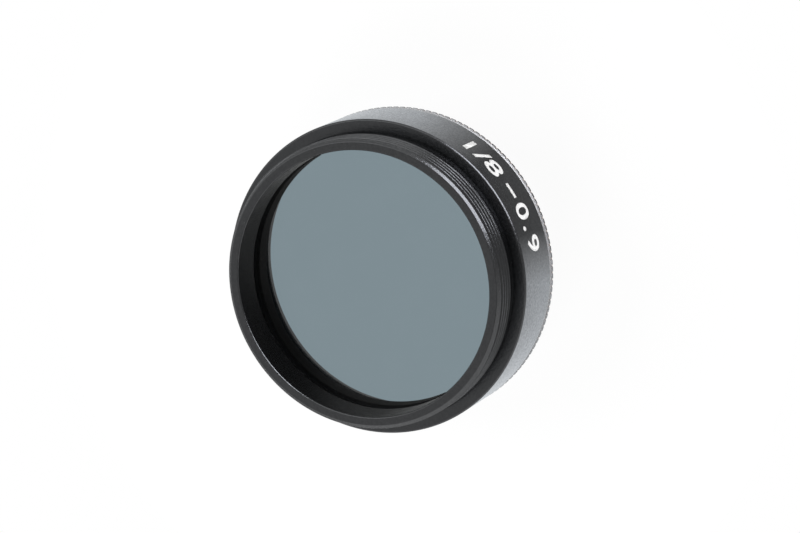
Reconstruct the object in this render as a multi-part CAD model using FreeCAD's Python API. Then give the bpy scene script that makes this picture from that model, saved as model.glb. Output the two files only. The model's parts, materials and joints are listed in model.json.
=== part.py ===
import FreeCAD, Part
import math
import os

# A screw-in neutral density filter in a round cell.
# Millimetres. The optical axis is Z. The knurled rim at the back stands on z = 0,
# and the threaded neck points up. The origin is the centre of the rim's flat end.

# Screw thread of the neck, and of the matching thread in the back of the cell
thread_diameter = 28.5
thread_pitch = 0.6
thread_height_share = 0.5413

# Neck
neck_length = 3.4
neck_wall = 1.2
lead_chamfer = 0.4
neck_mouth_chamfer = 0.1
relief_width = 0.8
relief_depth = 0.05
relief_face_cut = 0.06
relief_clearance = 0.05

# Body
body_length = 7.5
shoulder_width = 1.25
body_chamfer = 0.14

# Knurled rim and the bright-cut groove in front of it
rim_width = 0.28
rim_chamfer = 0.06
knurl_pitch = 0.685
knurl_depth = 0.1
knurl_angle = 110.0
knurl_run_out = 0.02
groove_width = 0.62
groove_depth = 0.24

# Glass and its seat in the cell
glass_thickness = 2.0
glass_bevel = 0.15
seat_width = 0.45
seat_floor = 0.2
seat_edge_break = 0.1
glass_clearance = 0.1

# Retaining ring
ring_height = 1.8
ring_chamfer = 0.12
ring_clearance = 0.03
slot_count = 2
slot_width = 1.2
slot_depth = 0.9

# Lead-in of the thread at the back
back_mouth_lead = 0.8
back_mouth_overcut = 0.1

# How far a cutting shape runs past the surface that it cuts
overrun = 0.1

# Radii and heights that follow from the sizes above
thread_r = thread_diameter / 2
thread_depth = thread_height_share * thread_pitch
thread_root_r = thread_r - thread_depth
body_r = thread_r + shoulder_width
aperture_r = thread_r - neck_wall
glass_r = aperture_r + seat_width
pocket_r = glass_r + glass_clearance
ring_r = pocket_r - ring_clearance
back_mouth_r = thread_r + back_mouth_overcut
relief_r = thread_root_r - relief_depth
relief_outer_r = thread_r + relief_clearance
knurl_root_r = body_r - knurl_depth
rim_face_r = knurl_root_r - knurl_run_out
groove_r = body_r - groove_depth

shoulder_z = body_length
front_z = body_length + neck_length
relief_floor_z = shoulder_z - relief_face_cut
seat_z = shoulder_z - seat_floor
glass_back_z = seat_z - glass_thickness
ring_back_z = glass_back_z - ring_height
relief_top_z = shoulder_z + relief_width
groove_root_z = rim_width + rim_face_r - groove_r
groove_top_z = rim_width + groove_width

origin = FreeCAD.Vector(0, 0, 0)
up = FreeCAD.Vector(0, 0, 1)


def turned(profile):
    """A solid of revolution about Z from a closed profile of (radius, height) points."""
    corners = [FreeCAD.Vector(radius, 0, height) for radius, height in profile]
    outline = Part.makePolygon(corners + corners[:1])
    return Part.Face(outline).revolve(origin, up, 360)


def around_axis(shape, count):
    """Copies of a shape at equal turns about Z."""
    copies = []
    for index in range(count):
        copy = shape.copy()
        copy.rotate(origin, up, index * 360 / count)
        copies.append(copy)
    return copies


def knurl_cuts():
    """V cuts along the rim that leave the teeth of a straight knurl and run out in the groove."""
    count = round(2 * math.pi * body_r / knurl_pitch)
    outer_r = body_r + overrun
    half_width = (outer_r - knurl_root_r) * math.tan(math.radians(knurl_angle / 2))
    corners = [
        FreeCAD.Vector(knurl_root_r, 0, -overrun),
        FreeCAD.Vector(outer_r, half_width, -overrun),
        FreeCAD.Vector(outer_r, -half_width, -overrun),
    ]
    section = Part.Face(Part.makePolygon(corners + corners[:1]))
    return around_axis(section.extrude(up * (rim_width + 2 * overrun)), count)


def make_filter_cell():
    """The cell, turned in one piece: knurled rim, groove, body, shoulder, relief and threaded neck.

    The relief runs a little into the shoulder, so that a mating barrel's end lies flat outside it.
    """
    outside = [
        (body_r - rim_chamfer, 0),
        (body_r, rim_chamfer),
        (body_r, rim_width),
        (rim_face_r, rim_width),
        (groove_r, groove_root_z),
        (body_r, groove_top_z),
        (body_r, shoulder_z - body_chamfer),
        (body_r - body_chamfer, shoulder_z),
        (relief_outer_r, shoulder_z),
        (relief_outer_r, relief_floor_z),
        (relief_r, relief_floor_z),
        (relief_r, relief_top_z - (thread_r - relief_r)),
        (thread_r, relief_top_z),
        (thread_r, front_z - lead_chamfer),
        (thread_r - lead_chamfer, front_z),
    ]
    inside = [
        (aperture_r + neck_mouth_chamfer, front_z),
        (aperture_r, front_z - neck_mouth_chamfer),
        (aperture_r, seat_z + seat_edge_break),
        (aperture_r + seat_edge_break, seat_z),
        (pocket_r, seat_z),
        (pocket_r, ring_back_z),
        (thread_root_r, ring_back_z),
        (thread_root_r, back_mouth_lead),
        (back_mouth_r, 0),
    ]
    blank = turned(outside + inside)
    return blank.cut(Part.makeCompound(knurl_cuts()))


def make_nd_glass():
    """A plane-parallel disc with ground bevels on both edges, against the lip of the neck."""
    return turned([
        (0, glass_back_z),
        (glass_r - glass_bevel, glass_back_z),
        (glass_r, glass_back_z + glass_bevel),
        (glass_r, seat_z - glass_bevel),
        (glass_r - glass_bevel, seat_z),
        (0, seat_z),
    ])


def make_retaining_ring():
    """A thin ring behind the glass, with spanner slots across its back face."""
    ring = turned([
        (aperture_r + ring_chamfer, ring_back_z),
        (ring_r - ring_chamfer, ring_back_z),
        (ring_r, ring_back_z + ring_chamfer),
        (ring_r, glass_back_z),
        (aperture_r, glass_back_z),
        (aperture_r, ring_back_z + ring_chamfer),
    ])
    slot = Part.makeBox(
        ring_r - aperture_r + 2 * overrun,
        slot_width,
        slot_depth + overrun,
        FreeCAD.Vector(aperture_r - overrun, -slot_width / 2, ring_back_z - overrun),
    )
    return ring.cut(Part.makeCompound(around_axis(slot, slot_count)))


pieces = {
    "filter_cell": make_filter_cell(),
    "nd_glass": make_nd_glass(),
    "retaining_ring": make_retaining_ring(),
}

os.makedirs("parts", exist_ok=True)
for name, shape in pieces.items():
    shape.exportStep(f"parts/{name}.step")
    box = shape.BoundBox
    print(f"{name}: {shape.Volume:.2f} mm3, {box.XLength:.2f} x {box.YLength:.2f} x {box.ZLength:.2f} mm")
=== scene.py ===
# %% [markdown]
# # A screw-in neutral density filter
#
# A small grey glass disc sits in a black anodised cell that was turned in one piece. The neck carries a
# fine male thread, the back carries the matching female thread, and a slotted ring holds the glass.
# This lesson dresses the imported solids: it makes the same pieces again as fine meshes, with real thread
# turns and edge rounds, gives each surface its finish, and lights the whole like a product on white.

# %% Load the frame
import json
import math

import bmesh
import bpy
import numpy as np
from mathutils import Matrix, Vector


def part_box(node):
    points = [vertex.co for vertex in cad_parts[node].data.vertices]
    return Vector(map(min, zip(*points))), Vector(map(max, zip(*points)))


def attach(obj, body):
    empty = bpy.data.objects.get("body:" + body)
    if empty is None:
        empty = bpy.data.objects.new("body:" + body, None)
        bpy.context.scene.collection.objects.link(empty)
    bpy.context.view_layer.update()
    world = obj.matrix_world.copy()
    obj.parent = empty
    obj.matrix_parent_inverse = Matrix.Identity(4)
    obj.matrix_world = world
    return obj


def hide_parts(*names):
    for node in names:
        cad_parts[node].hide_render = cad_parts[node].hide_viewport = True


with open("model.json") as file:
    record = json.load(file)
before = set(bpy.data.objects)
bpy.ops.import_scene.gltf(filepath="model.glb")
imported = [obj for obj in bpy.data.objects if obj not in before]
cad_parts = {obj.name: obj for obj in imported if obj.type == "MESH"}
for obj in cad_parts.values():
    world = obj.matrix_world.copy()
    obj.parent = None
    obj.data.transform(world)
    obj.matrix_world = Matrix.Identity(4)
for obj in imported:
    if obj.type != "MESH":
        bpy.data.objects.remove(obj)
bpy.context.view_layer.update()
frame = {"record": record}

# %% [markdown]
# ## Sizes
#
# The main sizes come from the frame, so the dressed pieces fit the solids: boxes of the pieces, and the
# radii, places and lengths of the mounts. What the frame can't tell, such as the pitch of the thread, is
# named where it is first needed, in millimetres times `mm`, because Blender works in metres.

# %% Sizes from the frame
mm = 0.001
mounts = {mount["name"]: mount for mount in frame["record"]["mounts"]}
neck_mount, back_mount = mounts["front_thread"], mounts["rear_thread"]
cell_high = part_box("filter_cell")[1]
glass_low, glass_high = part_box("nd_glass")
ring_low, ring_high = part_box("retaining_ring")

body_r = cell_high.x
front_z = cell_high.z
shoulder_z = mounts["shoulder"]["pos_m"][2]
thread_r = neck_mount["dims"]["r_mm"] * mm
thread_root_r = back_mount["dims"]["r_mm"] * mm
thread_depth = thread_r - thread_root_r
relief_top_z = neck_mount["pos_m"][2] - neck_mount["dims"]["length_mm"] * mm / 2
back_mouth_lead = back_mount["pos_m"][2] - back_mount["dims"]["length_mm"] * mm / 2
print(f"body {2000 * body_r:.1f} mm across and {1000 * front_z:.1f} mm high")
print(f"thread {2000 * thread_r:.1f} mm across and {1000 * thread_depth:.3f} mm deep")

# %% [markdown]
# ## Helpers for node trees
#
# Geometry Nodes and shader trees are wired in the same way, so a few small helpers serve both. One adds a
# node with its settings and inputs. The others add a Math, Map Range, Mix or Noise node, or a few nodes
# that often go together, and hand back the result.

# %% Node helpers
def shown(sockets, name):
    """The socket of that name that a node shows in its present settings."""
    return next(socket for socket in sockets if socket.name == name and socket.enabled)


def add_node(tree, kind, inputs=None, **settings):
    """A new node. Inputs are named or numbered, and hold a value or another node's output."""
    node = tree.nodes.new(kind)
    for name, value in settings.items():
        setattr(node, name, value)
    for key, value in (inputs or {}).items():
        socket = node.inputs[key] if isinstance(key, int) else shown(node.inputs, key)
        if isinstance(value, bpy.types.NodeSocket):
            tree.links.new(value, socket)
        else:
            socket.default_value = value
    return node


def add_inputs(tree, sockets):
    for name, kind in sockets.items():
        tree.interface.new_socket(name, in_out="INPUT", socket_type="NodeSocket" + kind)


def calc(tree, operation, *values, whole=False):
    """The result of a Math node, or of an Integer Math node for whole numbers."""
    kind = "FunctionNodeIntegerMath" if whole else "ShaderNodeMath"
    return add_node(tree, kind, dict(enumerate(values)), operation=operation).outputs[0]


def ramp(tree, value, low, high, at_low, at_high, course="LINEAR"):
    """A value that goes from at_low to at_high while another goes from low to high."""
    ends = {"Value": value, "From Min": low, "From Max": high, "To Min": at_low, "To Max": at_high}
    return add_node(tree, "ShaderNodeMapRange", ends, interpolation_type=course).outputs["Result"]


def blend(tree, share, first, second, kind="FLOAT"):
    """The first number, or colour for RGBA, where the share is 0, and the second where it is 1."""
    ends = {"Factor": share, "A": first, "B": second}
    return shown(add_node(tree, "ShaderNodeMix", ends, data_type=kind).outputs, "Result")


def noise(tree, place, scale, detail, roughness=0.5):
    """Noise between 0 and 1 with that many waves to a metre."""
    inputs = {"Vector": place, "Scale": scale, "Detail": detail, "Roughness": roughness}
    return add_node(tree, "ShaderNodeTexNoise", inputs).outputs["Fac"]


def parts(tree, vector):
    """X, Y and Z of a place or a direction."""
    return add_node(tree, "ShaderNodeSeparateXYZ", {"Vector": vector}).outputs


def axis_distance(tree, part):
    """The distance of a place from the optical axis."""
    flat = add_node(tree, "ShaderNodeCombineXYZ", {"X": part["X"], "Y": part["Y"]}).outputs[0]
    return add_node(tree, "ShaderNodeVectorMath", {0: flat}, operation="LENGTH").outputs["Value"]


print("node helpers:", [helper.__name__ for helper in (add_node, calc, ramp, blend, noise)])

# %% [markdown]
# ## Finishes: shared effects
#
# The cell was turned on a lathe, so every face keeps fine rings around the axis. They are thin bands of
# noise over radius and height. Anodising leaves a fine sparkle on top, a speckle about as fine as the
# camera can see. Both effects are node groups, because more than one finish uses them, each with its own
# values.

# %% Node groups for turning rings and anodic speckle
rings_up_a_wall = 1.7
speckle_limits = 0.35, 0.65


def new_effect(name, rate, result):
    """An empty node group: a place and a rate go in, and one value comes out."""
    group = bpy.data.node_groups.new(name, "ShaderNodeTree")
    add_inputs(group, {"Place": "Vector", rate: "Float"})
    group.interface.new_socket(result, in_out="OUTPUT", socket_type="NodeSocketFloat")
    return group, add_node(group, "NodeGroupInput").outputs


def turning_rings_group():
    group, given = new_effect("turning_rings", "Rings per metre", "Height")
    part = parts(group, given["Place"])
    along = calc(group, "MULTIPLY_ADD", part["Z"], rings_up_a_wall, axis_distance(group, part))
    bands = calc(group, "MULTIPLY", along, given["Rings per metre"])
    rings = add_node(
        group, "ShaderNodeTexNoise", {"W": bands, "Scale": 1.0, "Detail": 3.0}, noise_dimensions="1D"
    )
    add_node(group, "NodeGroupOutput", {"Height": rings.outputs["Fac"]})
    return group


def anodic_speckle_group():
    group, given = new_effect("anodic_speckle", "Grains per metre", "Tone")
    fine = noise(group, given["Place"], given["Grains per metre"], detail=2.0, roughness=0.7)
    add_node(group, "NodeGroupOutput", {"Tone": ramp(group, fine, *speckle_limits, 0.0, 1.0)})
    return group


turning_rings = turning_rings_group()
anodic_speckle = anodic_speckle_group()
print("effects:", turning_rings.name, anodic_speckle.name)

# %% [markdown]
# ## Finishes: the metal
#
# Black anodised aluminium is a dark dyed oxide layer: little colour of its own, and a satin shine that
# grows at a grazing look. The layer is sealed, and the seal shines more on some grains than on others.
# That could be painted into the colour, but a real sparkle comes and goes with the light, so the speckle
# drives the weight of a clear coat. The groove is cut through the oxide into bright metal.

# %% Black anodised finishes
ring_mark_depth = 0.001 * mm
speckle_depth = 0.006 * mm
oxide_level = 0.45
oxide_tint = (0.94, 0.965, 1.0, 1.0)
seal_roughness = 0.2


def new_material(name, **values):
    """A Principled material with constant values on its own sockets, and its Object coordinates."""
    material = bpy.data.materials.new(name)
    material.use_nodes = True
    tree = material.node_tree
    shader = tree.nodes["Principled BSDF"]
    for socket, value in values.items():
        shader.inputs[socket.replace("_", " ")].default_value = value
    place = add_node(tree, "ShaderNodeTexCoord").outputs["Object"]
    return material, tree, shader, place


def add_turned_relief(tree, shader, place, rings, speckle=None):
    """Bump from turning rings, with speckle on top where the finish has one. It hands back the rings."""
    given = {"Place": place, "Rings per metre": rings}
    marks = add_node(tree, "ShaderNodeGroup", given, node_tree=turning_rings).outputs["Height"]
    height = calc(tree, "MULTIPLY", marks, ring_mark_depth)
    if speckle is not None:
        height = calc(tree, "MULTIPLY_ADD", speckle, speckle_depth, height)
    bump = add_node(tree, "ShaderNodeBump", {"Height": height, "Strength": 1.0, "Distance": 1.0})
    tree.links.new(bump.outputs["Normal"], shader.inputs["Normal"])
    return marks


def anodised_material(name, shine, seal, dark, light, smooth, rough, grains, rings):
    """Dyed oxide of that IOR. Over a grain it turns lighter and rougher, and its seal grows from none."""
    material, tree, shader, place = new_material(
        name, IOR=shine, Specular_IOR_Level=oxide_level, Specular_Tint=oxide_tint,
        Coat_Roughness=seal_roughness,
    )
    given = {"Place": place, "Grains per metre": grains}
    tone = add_node(tree, "ShaderNodeGroup", given, node_tree=anodic_speckle).outputs["Tone"]
    colour = blend(tree, tone, (*dark, 1.0), (*light, 1.0), "RGBA")
    tree.links.new(colour, shader.inputs["Base Color"])
    tree.links.new(ramp(tree, tone, 0.0, 1.0, smooth, rough), shader.inputs["Roughness"])
    tree.links.new(calc(tree, "MULTIPLY", tone, seal), shader.inputs["Coat Weight"])
    add_turned_relief(tree, shader, place, rings, tone)
    return material


cell_finish = anodised_material(
    "black_anodised_cell", shine=2.7, seal=0.9,
    dark=(0.002, 0.002, 0.0022), light=(0.005, 0.005, 0.0055),
    smooth=0.14, rough=0.23, grains=5000.0, rings=16000.0,
)
ring_finish = anodised_material(
    "black_anodised_ring", shine=1.7, seal=0.2,
    dark=(0.010, 0.010, 0.010), light=(0.020, 0.020, 0.021),
    smooth=0.42, rough=0.55, grains=7000.0, rings=12000.0,
)
print("anodised finishes:", cell_finish.name, ring_finish.name)

# %% Bright cut of the groove
bright_metal = (0.95, 0.95, 0.955, 1.0)
bright_rings = 30000.0
bright_roughness = 0.44, 0.56


def bright_cut_material():
    material, tree, shader, place = new_material("bright_cut", Metallic=1.0, Base_Color=bright_metal)
    marks = add_turned_relief(tree, shader, place, bright_rings)
    tree.links.new(ramp(tree, marks, 0.0, 1.0, *bright_roughness), shader.inputs["Roughness"])
    return material


groove_finish = bright_cut_material()
print("groove finish:", groove_finish.name)

# %% [markdown]
# ## Finishes: glass and ink
#
# The filter glass is grey all through, with faint clouds in its tint: it passes about a quarter of the
# light of the white behind it, a little bluish. Its edge is ground and dull, so it has a finish of its
# own, without transmission. The figures on the body are white ink with a slightly uneven tone.

# %% Glass, its ground edge, and ink
glass_ior = 1.52
glass_tints = (0.212, 0.273, 0.302, 1.0), (0.222, 0.283, 0.312, 1.0)
ground_colour = (0.02, 0.022, 0.024, 1.0)
ground_roughness = 0.55, 0.8
ink_tones = 0.92, 0.98
grain_limits = 0.3, 0.7


def glass_material():
    material, tree, shader, place = new_material(
        "polished_grey_glass", IOR=glass_ior, Transmission_Weight=1.0, Roughness=0.0
    )
    clouds = noise(tree, place, scale=260.0, detail=3.0)
    tree.links.new(blend(tree, clouds, *glass_tints, "RGBA"), shader.inputs["Base Color"])
    return material


def ground_edge_material():
    material, tree, shader, place = new_material(
        "ground_glass_edge", IOR=glass_ior, Base_Color=ground_colour
    )
    frost = noise(tree, place, scale=9000.0, detail=3.0)
    tree.links.new(ramp(tree, frost, *grain_limits, *ground_roughness), shader.inputs["Roughness"])
    return material


def ink_material():
    material, tree, shader, place = new_material("white_ink", IOR=1.5, Roughness=0.55)
    tone = ramp(tree, noise(tree, place, scale=7000.0, detail=2.0), *grain_limits, *ink_tones)
    colour = add_node(tree, "ShaderNodeCombineColor", {channel: tone for channel in range(3)})
    tree.links.new(colour.outputs[0], shader.inputs["Base Color"])
    return material


glass_finish = glass_material()
edge_finish = ground_edge_material()
ink_finish = ink_material()
print("materials so far:", len(bpy.data.materials))

# %% [markdown]
# ## A turned piece as a rule
#
# A lathe turns one outline about the axis. A Screw modifier could do that, but the thread is a helix and
# the knurl is a row of cuts, so neither follows a plain turn. Here a Geometry Nodes tree bends a flat
# grid instead: each row of the grid takes its radius and height from one point of the outline, and each
# column is an angle. Rows that are marked as thread lose a gap that climbs with the angle. Every tooth
# of the knurl has three columns, one in its cut and two at the ends of its tip, and rows that are marked
# as knurl drop to the root in the cut.

# %% Cutting the thread and the knurl
columns_per_tooth = 3
gap_floor_end = 1 / 8
gap_flank_end = 7 / 16


def thread_radius(tree, given, radius, height, turn, side, crest):
    """The radius after the thread is cut: side is 1 outside, -1 in a bore and 0 where there is none.

    The gap climbs by a pitch in each turn. Counted in pitches from its middle, it is flat as far as
    gap_floor_end, and its flank ends at gap_flank_end.
    """
    climb = calc(tree, "DIVIDE", calc(tree, "SUBTRACT", height, given["Thread start"]), given["Pitch"])
    from_gap = calc(tree, "PINGPONG", calc(tree, "SUBTRACT", climb, turn), 0.5)
    cut = ramp(tree, from_gap, gap_floor_end, gap_flank_end, given["Thread depth"], 0.0, "SMOOTHSTEP")
    helix = calc(tree, "SUBTRACT", crest, calc(tree, "MULTIPLY", side, cut))
    past = calc(tree, "MULTIPLY", side, calc(tree, "SUBTRACT", radius, helix))
    over = calc(tree, "MAXIMUM", past, 0.0)
    return calc(tree, "SUBTRACT", radius, calc(tree, "MULTIPLY", side, over))


def column_turn(tree, given, column, step):
    """The share of a full turn at a column: cut, start of the tip and end of the tip of each tooth."""
    tooth = calc(tree, "DIVIDE_FLOOR", column, columns_per_tooth, whole=True)
    half_cut = calc(tree, "MULTIPLY", given["Cut share"], 0.5)
    tip_share = calc(tree, "SUBTRACT", 1.0, given["Cut share"])
    along_tip = calc(tree, "MULTIPLY", calc(tree, "SUBTRACT", step, 1.0), tip_share)
    on_tip = calc(tree, "GREATER_THAN", step, 0.0)
    within = calc(tree, "MULTIPLY", on_tip, calc(tree, "ADD", half_cut, along_tip))
    return calc(tree, "DIVIDE", calc(tree, "ADD", tooth, within), given["Teeth"])


def knurled_radius(tree, given, radius, step, knurl):
    """The radius after the knurl is cut: the first column of each tooth drops to the root."""
    in_cut = calc(tree, "MULTIPLY", calc(tree, "LESS_THAN", step, 1.0), knurl)
    over = calc(tree, "MAXIMUM", calc(tree, "SUBTRACT", radius, given["Knurl root"]), 0.0)
    return calc(tree, "SUBTRACT", radius, calc(tree, "MULTIPLY", in_cut, over))


print(f"thread crest: {2 * (0.5 - gap_flank_end):.3f} of the pitch")

# %% The tree of a turned piece
outline_marks = ("side", "crest", "knurl", "second")
merge_distance = 0.0005 * mm
all_corners_marked = 0.9


def sample_row(tree, outline, field, row, kind):
    """What the outline holds at that row: its position or a named mark."""
    inputs = {"Geometry": outline, "Value": field, "Index": row}
    node = add_node(tree, "GeometryNodeSampleIndex", inputs, data_type=kind, domain="POINT")
    return shown(node.outputs, "Value")


def named(tree, name):
    node = add_node(tree, "GeometryNodeInputNamedAttribute", {"Name": name}, data_type="FLOAT")
    return shown(node.outputs, "Attribute")


def geometry(tree, kind, inputs, **settings):
    return add_node(tree, "GeometryNode" + kind, inputs, **settings).outputs[0]


def turned_place(tree, given, outline, rows):
    """Where each point of the grid goes, and its mark for the second finish."""
    index = add_node(tree, "GeometryNodeInputIndex").outputs[0]
    column = calc(tree, "DIVIDE_FLOOR", index, rows, whole=True)
    row = calc(tree, "MODULO", index, rows, whole=True)
    step = calc(tree, "MODULO", column, columns_per_tooth, whole=True)
    turn = column_turn(tree, given, column, step)
    angle = calc(tree, "MULTIPLY", turn, math.tau)
    position = add_node(tree, "GeometryNodeInputPosition").outputs[0]
    point = parts(tree, sample_row(tree, outline, position, row, "FLOAT_VECTOR"))
    mark = {name: sample_row(tree, outline, named(tree, name), row, "FLOAT") for name in outline_marks}
    radius = thread_radius(tree, given, point["X"], point["Z"], turn, mark["side"], mark["crest"])
    radius = knurled_radius(tree, given, radius, step, mark["knurl"])
    place = add_node(tree, "ShaderNodeCombineXYZ", {
        "X": calc(tree, "MULTIPLY", radius, calc(tree, "COSINE", angle)),
        "Y": calc(tree, "MULTIPLY", radius, calc(tree, "SINE", angle)),
        "Z": point["Z"],
    }).outputs[0]
    return place, mark["second"]


def turned_piece_tree():
    tree = bpy.data.node_groups.new("turned_piece", "GeometryNodeTree")
    add_inputs(tree, {
        "Outline": "Object", "Teeth": "Int", "Cut share": "Float", "Knurl root": "Float",
        "Pitch": "Float", "Thread depth": "Float", "Thread start": "Float",
        "Finish": "Material", "Second finish": "Material",
    })
    tree.interface.new_socket("Geometry", in_out="OUTPUT", socket_type="NodeSocketGeometry")
    given = add_node(tree, "NodeGroupInput").outputs
    outline = add_node(tree, "GeometryNodeObjectInfo", {"Object": given["Outline"]}).outputs["Geometry"]
    rows = geometry(tree, "AttributeDomainSize", {"Geometry": outline})
    columns = calc(tree, "MULTIPLY_ADD", given["Teeth"], columns_per_tooth, 1, whole=True)
    grid = geometry(tree, "MeshGrid", {"Vertices X": columns, "Vertices Y": rows})
    place, second_mark = turned_place(tree, given, outline, rows)
    bent = geometry(tree, "SetPosition", {"Geometry": grid, "Position": place})
    marked = geometry(
        tree, "StoreNamedAttribute", {"Geometry": bent, "Name": "second", "Value": second_mark},
        data_type="FLOAT", domain="POINT",
    )
    closed = geometry(tree, "MergeByDistance", {"Geometry": marked, "Distance": merge_distance})
    real = geometry(tree, "RealizeInstances", {"Geometry": closed})
    first = geometry(tree, "SetMaterial", {"Geometry": real, "Material": given["Finish"]})
    on_second = calc(tree, "GREATER_THAN", named(tree, "second"), all_corners_marked)
    both = geometry(tree, "SetMaterial", {
        "Geometry": first, "Selection": on_second, "Material": given["Second finish"],
    })
    add_node(tree, "NodeGroupOutput", {"Geometry": both})
    return tree


turned_piece = turned_piece_tree()
print("tree:", turned_piece.name, len(turned_piece.nodes), "nodes")

# %% [markdown]
# ## Outlines with real edges
#
# No real edge is perfectly sharp: a small round catches the light as a thin bright line. Each corner of
# an outline becomes a short arc here, with a support point before and after it, so that smooth shading
# bends only at the edge and the flats stay flat. Threaded stretches get many rows to a pitch, because the
# helix needs something to cut into, and more of them outside, where the thread is seen from near.

# %% Rounded outlines
edge_round = 0.035 * mm
edge_round_share = 0.3
support_reach = 1.5
arc_steps = 2
thread_pitch = 0.6 * mm
outer_rows_per_pitch = 12
inner_rows_per_pitch = 8
rows_kept_clear = 2


def corner_arc(before, corner, after):
    """Points that round a corner: a support, an arc between the two stretches, and a support."""
    back, ahead = before - corner, after - corner
    reach = min(edge_round, edge_round_share * back.length, edge_round_share * ahead.length)
    start, end = corner + reach * back.normalized(), corner + reach * ahead.normalized()
    points = [corner + support_reach * reach * back.normalized()]
    for step in range(arc_steps + 1):
        t = step / arc_steps
        points.append((1 - t) ** 2 * start + 2 * t * (1 - t) * corner + t ** 2 * end)
    points.append(corner + support_reach * reach * ahead.normalized())
    return points


def thread_rows(start, end, marks):
    """Rows between two corners, close enough for the helix and clear of the arcs."""
    span = end - start
    rows_per_pitch = outer_rows_per_pitch if marks["side"] > 0 else inner_rows_per_pitch
    count = max(1, round(span.length / thread_pitch * rows_per_pitch))
    inner = range(rows_kept_clear, count - rows_kept_clear + 1)
    return [(start + span * step / count, marks) for step in inner]


def rounded_outline(stretches, closed):
    """Rows of a turned piece. A stretch is its first corner (radius, height) and its marks."""
    corners = [Vector(corner) for corner, _ in stretches]
    count = len(corners)
    rows = []
    for number, (_, marks) in enumerate(stretches):
        corner, after = corners[number], corners[(number + 1) % count]
        if not closed and number in (0, count - 1):
            rows.append((corner, marks))
        else:
            arc = corner_arc(corners[number - 1], corner, after)
            previous = stretches[number - 1][1]
            half = len(arc) // 2
            rows += [(point, previous) for point in arc[:half]]
            rows += [(point, marks) for point in arc[half:]]
        if marks.get("side"):
            rows += thread_rows(corner, after, marks)
    return rows + rows[:1] if closed else rows


print(f"edge rounds of {1000 * edge_round:.3f} mm, {outer_rows_per_pitch} rows to a pitch outside")

# %% [markdown]
# ## From an outline to a piece
#
# The outline is a chain of points that carry their marks as attributes. The tree runs as a modifier on an
# empty holder, and what it makes is kept as a plain mesh. The sign of its volume shows whether its faces
# point outwards.

# %% Turn an outline into a mesh
knurl_depth = 0.1 * mm
knurl_root_r = body_r - knurl_depth
thread_start_z = shoulder_z + 0.1 * mm
even_columns = 2 / 3


def add_object(name, data):
    item = bpy.data.objects.new(name, data)
    bpy.context.scene.collection.objects.link(item)
    return item


def result_mesh(item):
    """What an object's text or modifiers make, as a plain mesh."""
    bpy.context.view_layer.update()
    evaluated = item.evaluated_get(bpy.context.evaluated_depsgraph_get())
    return bpy.data.meshes.new_from_object(evaluated)


def outline_object(name, rows):
    mesh = bpy.data.meshes.new(name)
    points = [(point.x, 0.0, point.y) for point, _ in rows]
    mesh.from_pydata(points, [(number, number + 1) for number in range(len(points) - 1)], [])
    for mark in outline_marks:
        values = mesh.attributes.new(mark, "FLOAT", "POINT")
        values.data.foreach_set("value", [float(marks.get(mark, 0.0)) for _, marks in rows])
    return add_object(name, mesh)


def signed_volume(mesh):
    """Positive where the faces of a closed mesh point outwards."""
    mesh.calc_loop_triangles()
    corners = np.array([vertex.co for vertex in mesh.vertices])
    faces = np.array([triangle.vertices for triangle in mesh.loop_triangles])
    a, b, c = (corners[faces[:, side]] for side in range(3))
    return float(np.einsum("ij,ij->i", a, np.cross(b, c)).sum() / 6)


def print_piece(piece):
    print(f"{piece.name}: {len(piece.data.polygons)} faces, {1e9 * signed_volume(piece.data):.1f} mm3")


def make_turned(name, stretches, teeth, finish, second_finish, closed=True, cut_share=even_columns):
    """Runs the tree over an outline and keeps the result as a plain mesh."""
    outline = outline_object(name + "_outline", rounded_outline(stretches, closed))
    holder = add_object(name + "_holder", bpy.data.meshes.new(name + "_holder"))
    modifier = holder.modifiers.new("turned", "NODES")
    modifier.node_group = turned_piece
    values = {
        "Outline": outline, "Teeth": teeth, "Cut share": cut_share, "Knurl root": knurl_root_r,
        "Pitch": thread_pitch, "Thread depth": thread_depth, "Thread start": thread_start_z,
        "Finish": finish, "Second finish": second_finish,
    }
    for item in turned_piece.interface.items_tree:
        if item.in_out == "INPUT":
            modifier[item.identifier] = values[item.name]
    mesh = result_mesh(holder)
    mesh.name = name
    bpy.data.objects.remove(holder)
    bpy.data.objects.remove(outline)
    if signed_volume(mesh) < 0:
        mesh.flip_normals()
    mesh.shade_smooth()
    piece = add_object(name, mesh)
    print_piece(piece)
    return piece


print(f"the helix starts {1000 * (thread_start_z - shoulder_z):.1f} mm above the shoulder")

# %% [markdown]
# ## The cell
#
# The outline runs up the outside, over the knurled rim, the bright groove, the body, the shoulder and
# the neck, and down the inside past the glass seat to the female thread, which ends in a short smooth
# land before its lead-in. The teeth of the knurl are shaded flat, because their edges are crisp.

# %% Sizes of the cell
neck_wall = 1.2 * mm
aperture_r = thread_r - neck_wall
glass_r = glass_high.x
glass_clearance = 0.1 * mm
pocket_r = glass_r + glass_clearance
seat_z = glass_high.z
seat_edge_break = 0.1 * mm

lead_chamfer = 0.4 * mm
neck_mouth_chamfer = 0.1 * mm
relief_depth = 0.05 * mm
relief_r = thread_root_r - relief_depth
relief_clearance = 0.05 * mm
relief_outer_r = thread_r + relief_clearance
relief_face_cut = 0.06 * mm
relief_floor_z = shoulder_z - relief_face_cut
body_chamfer = 0.14 * mm
back_mouth_overcut = 0.1 * mm
back_mouth_r = thread_r + back_mouth_overcut
back_land = 0.5 * mm

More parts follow.
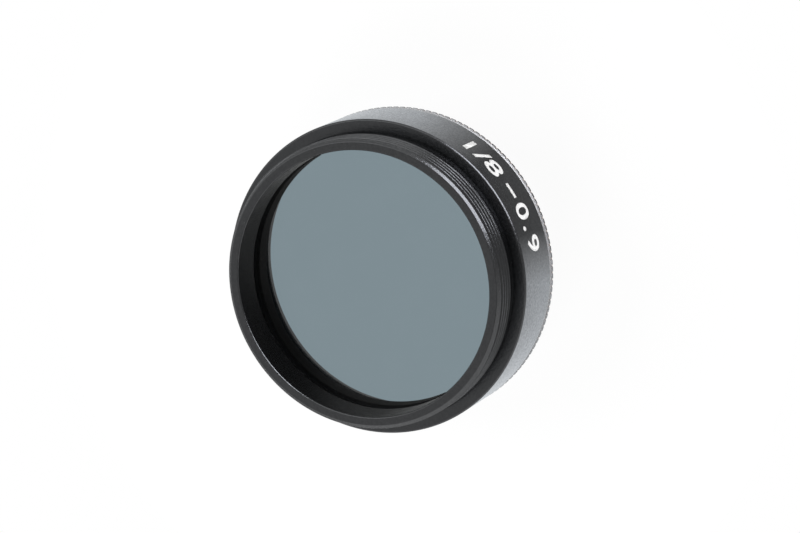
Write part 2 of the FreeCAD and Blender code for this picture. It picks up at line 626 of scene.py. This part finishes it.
knurl_teeth = 142
knurl_cut_share = 0.4165
rim_width = 0.28 * mm
rim_chamfer = 0.06 * mm
knurl_run_out = 0.02 * mm
rim_face_r = knurl_root_r - knurl_run_out
groove_depth = 0.24 * mm
groove_width = 0.62 * mm
groove_r = body_r - groove_depth
groove_root_z = rim_width + rim_face_r - groove_r
groove_top_z = rim_width + groove_width
ink_room = 0.015 * mm
body_face_r = body_r - ink_room
print(f"neck wall {1000 * neck_wall:.1f} mm, knurl of {knurl_teeth} teeth")

# %% Make the cell
plain = {}
knurled = {"knurl": 1.0}
bright = {"second": 1.0}
bright_knurled = {"knurl": 1.0, "second": 1.0}
outer_thread = {"side": 1.0, "crest": thread_r}
fading_thread = {"side": 0.7, "crest": thread_r}
inner_thread = {"side": -1.0, "crest": thread_root_r}

cell = make_turned("cell", [
    ((body_r - rim_chamfer, 0.0), knurled),
    ((body_r, rim_chamfer), knurled),
    ((body_r, rim_width), bright_knurled),
    ((rim_face_r, rim_width), bright),
    ((groove_r, groove_root_z), bright),
    ((body_face_r, groove_top_z), plain),
    ((body_face_r, shoulder_z - body_chamfer), plain),
    ((body_face_r - body_chamfer, shoulder_z), plain),
    ((relief_outer_r, shoulder_z), plain),
    ((relief_outer_r, relief_floor_z), plain),
    ((relief_r, relief_floor_z), plain),
    ((relief_r, relief_top_z - thread_r + relief_r), outer_thread),
    ((thread_r, relief_top_z), outer_thread),
    ((thread_r, front_z - lead_chamfer), fading_thread),
    ((thread_r - lead_chamfer, front_z), plain),
    ((aperture_r + neck_mouth_chamfer, front_z), plain),
    ((aperture_r, front_z - neck_mouth_chamfer), plain),
    ((aperture_r, seat_z + seat_edge_break), plain),
    ((aperture_r + seat_edge_break, seat_z), plain),
    ((pocket_r, seat_z), plain),
    ((pocket_r, ring_low.z), plain),
    ((thread_root_r, ring_low.z), inner_thread),
    ((thread_root_r, back_mouth_lead + back_land), plain),
    ((thread_root_r, back_mouth_lead), plain),
    ((back_mouth_r, 0.0), knurled),
], teeth=knurl_teeth, finish=cell_finish, second_finish=groove_finish, cut_share=knurl_cut_share)

for face in cell.data.polygons:
    centre = face.center
    if centre.z < rim_width and math.hypot(centre.x, centre.y) > rim_face_r:
        face.use_smooth = False

# %% [markdown]
# ## The glass
#
# The disc has polished faces and a ground edge with a small bevel on both sides. It is turned by the
# same tree from an open outline that starts and ends on the axis, and the edge rows take the second
# finish. It has no knurl, so the number of teeth only sets how fine its circle is.

# %% Make the glass
glass_bevel = 0.15 * mm
smooth_circle_teeth = 64
ground = {"second": 1.0}
glass = make_turned("filter_glass", [
    ((0.0, glass_low.z), plain),
    ((glass_r - glass_bevel, glass_low.z), ground),
    ((glass_r, glass_low.z + glass_bevel), ground),
    ((glass_r, glass_high.z - glass_bevel), ground),
    ((glass_r - glass_bevel, glass_high.z), plain),
    ((0.0, glass_high.z), plain),
], teeth=smooth_circle_teeth, finish=glass_finish, second_finish=edge_finish, closed=False)

# %% [markdown]
# ## The retaining ring
#
# The thin ring behind the glass is turned too. Its two spanner slots are cut by a Boolean with a plain
# block that goes right across the ring, which makes both slots at once.

# %% Make the ring and cut its slots
ring_r = ring_high.x
ring_chamfer = 0.12 * mm
slot_width = 1.2 * mm
slot_depth = 0.9 * mm
crisp_edge_angle = math.radians(40)
ring = make_turned("slotted_ring", [
    ((aperture_r + ring_chamfer, ring_low.z), plain),
    ((ring_r - ring_chamfer, ring_low.z), plain),
    ((ring_r, ring_low.z + ring_chamfer), plain),
    ((ring_r, ring_high.z), plain),
    ((aperture_r, ring_high.z), plain),
    ((aperture_r, ring_low.z + ring_chamfer), plain),
], teeth=smooth_circle_teeth, finish=ring_finish, second_finish=ring_finish)


def cut_slots(piece):
    """Cuts a block out of the ring. It reaches past both sides, and half of its height is in the ring."""
    block_mesh = bpy.data.meshes.new("slot_block")
    shape = bmesh.new()
    bmesh.ops.create_cube(shape, size=1.0)
    size = Matrix.Diagonal((3 * ring_r, slot_width, 2 * slot_depth, 1.0))
    shape.transform(Matrix.Translation((0.0, 0.0, ring_low.z)) @ size)
    shape.to_mesh(block_mesh)
    shape.free()
    block = add_object("slot_block", block_mesh)
    cut = piece.modifiers.new("slots", "BOOLEAN")
    cut.operation = "DIFFERENCE"
    cut.object = block
    slotted = result_mesh(piece)
    piece.modifiers.remove(cut)
    piece.data = slotted
    piece.data.name = piece.name
    bpy.data.objects.remove(block)


cut_slots(ring)
ring.data.set_sharp_from_angle(angle=crisp_edge_angle)
print_piece(ring)

# %% [markdown]
# ## The figures on the body
#
# The body carries white figures: the share of light that passes and the density. They are made as text,
# turned into a mesh, sliced into narrow strips so that they can bend, and wrapped round the body. Their
# tops point to the knurled rim.

# %% Sizes and places of the figures
figure_height = 2.7 * mm
dash_height = 0.52 * mm
dash_lift = (figure_height - dash_height) / 2
dot_height = 0.6 * mm
figure_middle_z = 4.15 * mm
# Each group has its words, its height, its lift, and the angles in degrees where it starts and ends.
figure_groups = (
    ("1/8", figure_height, 0.0, -28.0, -11.5),
    ("-", dash_height, dash_lift, -8.0, -2.0),
    ("0", figure_height, 0.0, 0.2, 6.4),
    (".", dot_height, 0.0, 8.35, 10.1),
    ("9", figure_height, 0.0, 12.5, 18.5),
)
figure_boldness = 0.016
figure_curve_steps = 6
ink_thickness = 0.012 * mm
strip_width = 0.25 * mm
print("figures:", "".join(group[0] for group in figure_groups))


# %% Make the figures
def flat_figures(words, height, length):
    """The words as a flat mesh of that height and length, with its lower left corner at zero."""
    curve = bpy.data.curves.new("figures", "FONT")
    curve.body = words
    curve.resolution_u = figure_curve_steps
    curve.offset = figure_boldness
    maker = add_object("figures_maker", curve)
    mesh = result_mesh(maker)
    bpy.data.objects.remove(maker)
    corners = np.array([vertex.co for vertex in mesh.vertices])
    low, high = corners.min(0), corners.max(0)
    wide, tall, _ = high - low
    scale = Matrix.Diagonal((length / wide, height / tall, 1.0, 1.0))
    mesh.transform(scale @ Matrix.Translation((-low[0], -low[1], 0.0)))
    return mesh


def unrolled_figures():
    """All groups as they lie on the unrolled body: X runs round it, and Y up to the figures' tops."""
    shape = bmesh.new()
    for words, height, lift, start, end in figure_groups:
        mesh = flat_figures(words, height, body_r * math.radians(end - start))
        corner = body_r * math.radians(start), lift - figure_height / 2, 0.0
        mesh.transform(Matrix.Translation(corner))
        shape.from_mesh(mesh)
    bmesh.ops.remove_doubles(shape, verts=shape.verts, dist=merge_distance)
    strips = int(max(abs(vertex.co.x) for vertex in shape.verts) / strip_width)
    for step in range(-strips, strips + 1):
        bmesh.ops.bisect_plane(
            shape, geom=shape.verts[:] + shape.edges[:] + shape.faces[:],
            plane_co=(step * strip_width, 0.0, 0.0), plane_no=(1.0, 0.0, 0.0),
        )
    return shape


def wrapped_figures():
    """The figures as a thin layer, half of it sunk into the body's face."""
    shape = unrolled_figures()
    top = bmesh.ops.extrude_face_region(shape, geom=shape.faces[:])
    raised = {item for item in top["geom"] if isinstance(item, bmesh.types.BMVert)}
    for vertex in shape.verts:
        radius = body_face_r + (ink_thickness if vertex in raised else -ink_thickness)
        angle = vertex.co.x / body_r
        height = figure_middle_z - vertex.co.y
        vertex.co = (-radius * math.sin(angle), -radius * math.cos(angle), height)
    bmesh.ops.recalc_face_normals(shape, faces=shape.faces[:])
    mesh = bpy.data.meshes.new("figures")
    shape.to_mesh(mesh)
    shape.free()
    mesh.materials.append(ink_finish)
    return add_object("figures", mesh)


figures = wrapped_figures()
print(f"figures: {len(figures.data.polygons)} faces")

# %% [markdown]
# ## Pieces on their body
#
# Nothing moves on this object, so every piece rides on the one body, `root`. The fine meshes stand for
# the plain solids, which stay in the physics model.

# %% Ride and replace
for piece, node, slot in (
    (cell, "filter_cell", "anodised_cell"),
    (glass, "nd_glass", "grey_glass"),
    (ring, "retaining_ring", "anodised_ring"),
):
    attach(piece, "root")
    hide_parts(node)
    print(piece.name, "stands for", node)
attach(figures, "root")

# %% [markdown]
# ## The floor
#
# The filter lies on a white floor. The camera finds it plain white, with a small share of real shading so
# that the shadow stays, and through the glass it is plain white too. Black anodised metal has hardly a
# colour of its own: its look is what it mirrors. For mirrored rays the floor carries a painted reflection:
# it glows white to the left and to the right of the filter, and painted shade makes it dim in front of it,
# under its glass and far off. The glow follows the place that a mirrored ray meets and is never brighter
# than white. Left is the side of +X here, right that of -X.

# %% The painted reflection on the floor
# Mirrored rays find the floor painted white beside the filter, and painted shade before it and far off.
left_white_in_gloss = 0.87
left_white_angles = math.radians(13), math.radians(54)
right_white_in_gloss = 0.97
right_white_angles = math.radians(-8), math.radians(-33)
before_white_in_gloss = 0.175
close_by = body_r + 1 * mm, body_r + 4 * mm
share_past_close_by = 0.76
far_off = 22 * mm, 30 * mm
far_white_in_gloss = 0.15

# Under the filter the reflection is painted too: painted shade under the middle of the glass, white under
# the rim.
under_middle_x = -1 * mm
under_middle_edge = 1.5 * mm, 4.5 * mm
under_middle_in_gloss = 0.03
under_white_in_gloss = 0.23
under_rim_edge = 12 * mm, 12.8 * mm
under_rim_in_gloss = 1.0


def painted_floor_reflection(tree):
    """Painted reflection: how bright mirrored rays find the floor, and where it is under the filter.

    It is painted white beside the filter, and painted shade makes it dim before it, under its glass
    and far from it.
    """
    part = parts(tree, add_node(tree, "ShaderNodeTexCoord").outputs["Object"])
    radius = axis_distance(tree, part)
    away = calc(tree, "ARCTAN2", part["X"], calc(tree, "MULTIPLY", part["Y"], -1.0))
    left = ramp(tree, away, *left_white_angles, 0.0, left_white_in_gloss)
    right = ramp(tree, away, *right_white_angles, 0.0, right_white_in_gloss)
    whitest = calc(tree, "MAXIMUM", before_white_in_gloss, calc(tree, "MAXIMUM", left, right))
    beside = calc(tree, "MULTIPLY", whitest, ramp(tree, radius, *close_by, 1.0, share_past_close_by))
    around = blend(tree, ramp(tree, radius, *far_off, 0.0, 1.0), beside, far_white_in_gloss)
    off_middle = calc(tree, "ABSOLUTE", calc(tree, "SUBTRACT", part["X"], under_middle_x))
    bore = ramp(tree, off_middle, *under_middle_edge, under_middle_in_gloss, under_white_in_gloss)
    under = blend(tree, ramp(tree, radius, *under_rim_edge, 0.0, 1.0), bore, under_rim_in_gloss)
    is_under = calc(tree, "LESS_THAN", radius, body_r)
    return blend(tree, is_under, around, under), is_under


print(f"floor in the gloss: {left_white_in_gloss} left, {right_white_in_gloss} right")

# %% Floor
white = (1.0, 1.0, 1.0, 1.0)
# Tints of the floor's painted reflection: cool white, and warm under the filter.
cool_white = (0.92, 0.96, 1.0, 1.0)
painted_under_reflection_tint = (1.0, 0.8, 0.72, 1.0)
matt_white = (0.86, 0.86, 0.86, 1.0)
floor_white_to_camera = 0.95
floor_radius = 40 * mm
floor_sides = 96


def seen_through(tree, rays):
    """1 for what is seen straight through the glass, and not by way of a mirroring wall."""
    bounces = calc(tree, "ADD", rays["Glossy Depth"], rays["Diffuse Depth"])
    direct = calc(tree, "LESS_THAN", bounces, 1.0)
    return calc(tree, "MULTIPLY", rays["Is Transmission Ray"], direct)


def floor_material():
    material = bpy.data.materials.new("white_floor")
    material.use_nodes = True
    tree = material.node_tree
    tree.nodes.clear()
    rays = add_node(tree, "ShaderNodeLightPath").outputs
    through = seen_through(tree, rays)
    mirrored = calc(tree, "MAXIMUM", calc(tree, "SUBTRACT", rays["Is Glossy Ray"], through), 0.0)
    shown_plain = calc(tree, "MULTIPLY_ADD", rays["Is Camera Ray"], floor_white_to_camera, mirrored)
    share = calc(tree, "MAXIMUM", through, shown_plain)
    in_gloss, is_under = painted_floor_reflection(tree)
    # Mirrored rays find the painted reflection, tinted, in place of plain white.
    level = blend(tree, mirrored, 1.0, in_gloss)
    cool = blend(tree, calc(tree, "MULTIPLY", mirrored, level), white, cool_white, "RGBA")
    tint = blend(tree, calc(tree, "MULTIPLY", mirrored, is_under), cool, painted_under_reflection_tint, "RGBA")
    matt = add_node(tree, "ShaderNodeBsdfDiffuse", {"Color": matt_white}).outputs[0]
    glow = add_node(tree, "ShaderNodeEmission", {"Color": tint, "Strength": level}).outputs[0]
    mixed = add_node(tree, "ShaderNodeMixShader", {0: share, 1: matt, 2: glow}).outputs[0]
    add_node(tree, "ShaderNodeOutputMaterial", {"Surface": mixed})
    return material


def make_floor():
    mesh = bpy.data.meshes.new("floor")
    turns = [math.tau * side / floor_sides for side in range(floor_sides)]
    corners = [(floor_radius * math.cos(turn), floor_radius * math.sin(turn), 0.0) for turn in turns]
    mesh.from_pydata(corners, [], [range(floor_sides)])
    mesh.materials.append(floor_material())
    return add_object("floor", mesh)


floor = make_floor()
print(f"floor: {2000 * floor_radius:.0f} mm across")

# %% [markdown]
# ## The surround and the lamps
#
# Above the floor the gloss finds a dim room, by the direction of the mirrored ray: a grey horizon that is
# darker on the camera's side, a dark zenith, and a soft light patch half way up on the left.
#
# The lamps are split in the same way. Two matt lamps behind and a low one in front light the floor and the
# ink. A narrow strip on the near side serves the gloss of the metal alone, and draws the bright lines on
# the chamfers and in the groove.

# %% World
# Each span holds the two ends of a change, as parts of the ray's direction: Y is depth, X side, Z height.
surround_level = 0.15
near_zenith_in_gloss, far_zenith_in_gloss = 0.02, 0.228
zenith_depth_span = -0.45, 0.35
left_sheen_in_gloss = 0.75
sheen_side_span = 0.4, 0.75
horizon_in_gloss, left_horizon_in_gloss = 0.42, 0.32
horizon_side_span = 0.2, 0.8
near_horizon_in_gloss = 0.15
near_horizon_depth_span = -0.9, -0.6
horizon_height_span = 0.3, 0.75


def room_in_gloss(tree):
    """How bright the gloss finds the room in the direction of a mirrored ray."""
    part = parts(tree, add_node(tree, "ShaderNodeTexCoord").outputs["Generated"])
    zenith = ramp(tree, part["Y"], *zenith_depth_span, near_zenith_in_gloss, far_zenith_in_gloss)
    sheen = ramp(tree, part["X"], *sheen_side_span, 0.0, left_sheen_in_gloss)
    overhead = calc(tree, "ADD", zenith, sheen)
    sides = ramp(tree, part["X"], *horizon_side_span, horizon_in_gloss, left_horizon_in_gloss)
    horizon = ramp(tree, part["Y"], *near_horizon_depth_span, near_horizon_in_gloss, sides)
    return ramp(tree, part["Z"], *horizon_height_span, horizon, overhead)


def make_world():
    world = bpy.data.worlds.new("soft_surround")
    bpy.context.scene.world = world
    world.use_nodes = True
    tree = world.node_tree
    tree.nodes.clear()
    rays = add_node(tree, "ShaderNodeLightPath").outputs
    behind = calc(tree, "MAXIMUM", rays["Is Camera Ray"], seen_through(tree, rays))
    glossy = calc(tree, "MULTIPLY", rays["Is Glossy Ray"], room_in_gloss(tree))
    strength = calc(tree, "MAXIMUM", calc(tree, "MAXIMUM", behind, glossy), surround_level)
    sky = add_node(tree, "ShaderNodeBackground", {"Color": white, "Strength": strength}).outputs[0]
    add_node(tree, "ShaderNodeOutputWorld", {"Surface": sky})
    return world


print("world:", make_world().name)


# %% Lamps
def make_lamp(name, serves, azimuth, elevation, distance, width, height, power, colour=white[:3]):
    """An area lamp that faces the filter. Azimuth 0 is the near side (-Y), and it grows towards +X."""
    data = bpy.data.lights.new(name, "AREA")
    data.shape = "RECTANGLE"
    data.size = width
    data.size_y = height
    data.energy = power
    data.color = colour
    lamp = add_object(name, data)
    turn, rise = math.radians(azimuth), math.radians(elevation)
    out = Vector((math.sin(turn) * math.cos(rise), -math.cos(turn) * math.cos(rise), math.sin(rise)))
    lamp.location = distance * out
    lamp.rotation_euler = out.to_track_quat("Z", "Y").to_euler()
    lamp.visible_camera = False
    lamp.visible_transmission = False
    lamp.visible_diffuse = serves == "matt"
    lamp.visible_glossy = serves == "gloss"
    return lamp


make_lamp(
    "left_back_lamp", "matt", azimuth=146, elevation=38, distance=0.45,
    width=0.24, height=0.20, power=2.0,
)
make_lamp(
    "right_back_lamp", "matt", azimuth=-143, elevation=38, distance=0.45,
    width=0.24, height=0.20, power=2.0,
)
make_lamp(
    "near_fill", "matt", azimuth=0, elevation=8, distance=0.45,
    width=0.30, height=0.08, power=1.5,
)
near_strip = make_lamp(
    "near_strip", "gloss", azimuth=18, elevation=26, distance=0.40,
    width=0.32, height=0.12, power=0.37, colour=(0.93, 0.94, 1.0),
)
metal_pieces = bpy.data.collections.new("metal_pieces")
metal_pieces.objects.link(cell)
metal_pieces.objects.link(ring)
near_strip.light_linking.receiver_collection = metal_pieces

# %% [markdown]
# ## Camera
#
# The photograph's view of the rings gives the camera: it looks down on the neck, about 26 degrees off
# the optical axis, from a third of a metre away with a long lens, and it is rolled so that the neck
# points left and down.

# %% Camera
view_elevation = math.radians(64.0)
view_roll = math.radians(117.7)
view_distance = 321.7 * mm
view_lens = 151.5
aim_right = 3.673 * mm
aim_up = 1.762 * mm


def make_camera():
    data = bpy.data.cameras.new("camera")
    data.lens = view_lens
    data.sensor_width = 36.0
    data.clip_start = 0.01
    data.clip_end = 10.0
    camera = add_object("camera", data)
    back = Vector((0.0, -math.cos(view_elevation), math.sin(view_elevation)))
    level_up = Vector((0.0, math.sin(view_elevation), math.cos(view_elevation)))
    level_right = level_up.cross(back)
    up = math.cos(view_roll) * level_up + math.sin(view_roll) * level_right
    right = up.cross(back)
    aim = Vector((0.0, 0.0, front_z)) + aim_right * right + aim_up * up
    turn = Matrix((right, up, back)).transposed().to_4x4()
    camera.matrix_world = Matrix.Translation(aim + view_distance * back) @ turn
    bpy.context.scene.camera = camera
    return camera


camera = make_camera()
bpy.context.scene.view_settings.view_transform = "Standard"
print("camera:", [round(1000 * value, 1) for value in camera.location], "mm")
